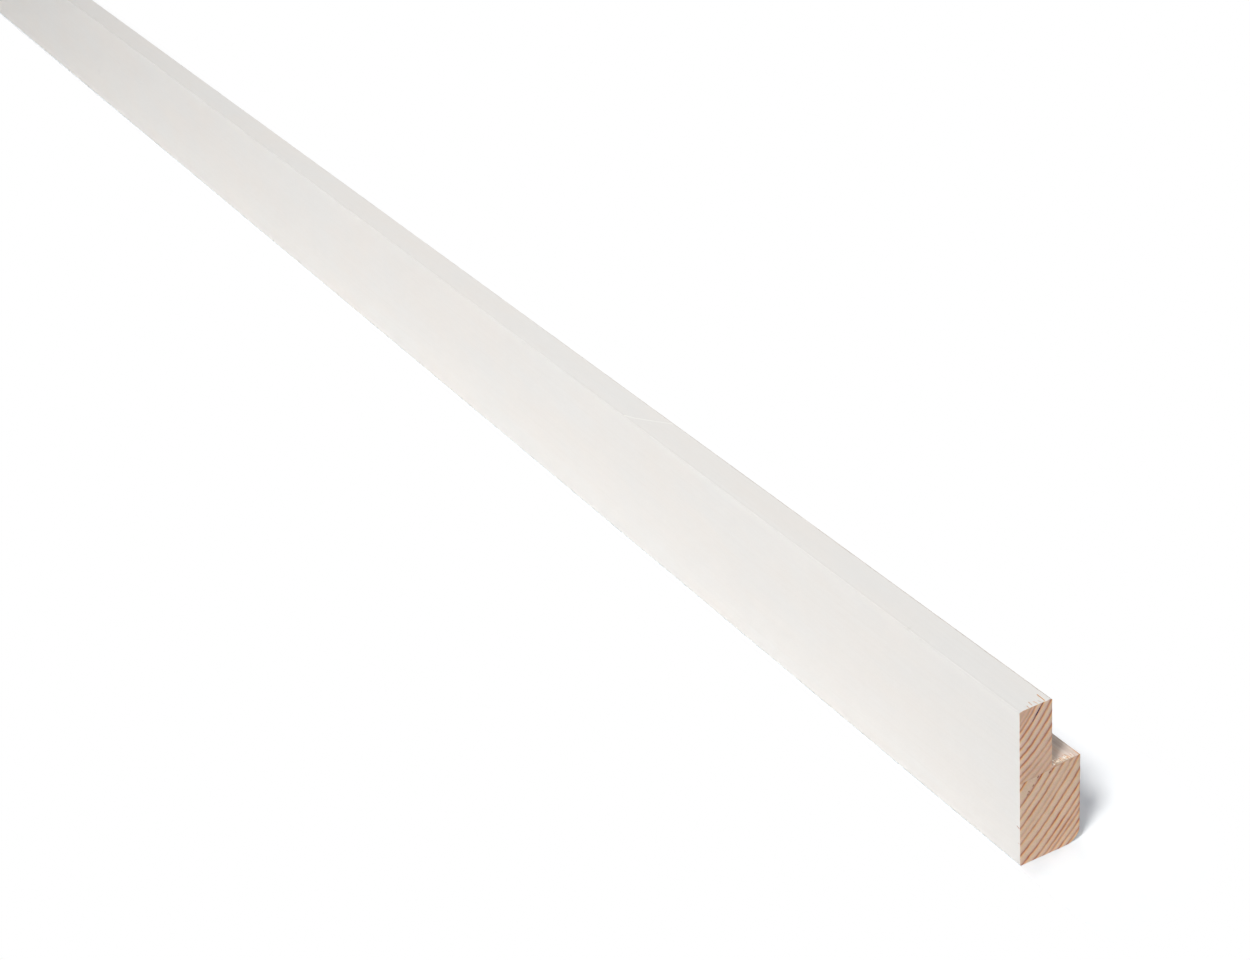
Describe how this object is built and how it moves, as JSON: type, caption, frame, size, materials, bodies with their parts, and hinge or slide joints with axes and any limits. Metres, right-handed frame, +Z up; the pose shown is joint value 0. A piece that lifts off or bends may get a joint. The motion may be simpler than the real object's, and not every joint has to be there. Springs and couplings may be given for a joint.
{
  "type": "reveal lining board",
  "caption": "Straight length of primed softwood lining for a door or window reveal, planed, with a rebate along the back of its top edge.",
  "frame": {"origin": "middle of the bottom edge: centre of the bounding box's bottom face, on the floor that the board stands on", "axes": "+X along the length, +Y from the show face to the back face, +Z up from the rounded bottom edge to the rebated top edge"},
  "size_m": [2.4, 0.018, 0.045],
  "materials": {
    "primed_softwood": "matt off-white primer over planed softwood; bare sawn end grain at both ends"
  },
  "bodies": {
    "root": {"lining_board": "primed_softwood"}
  },
  "joints": []
}
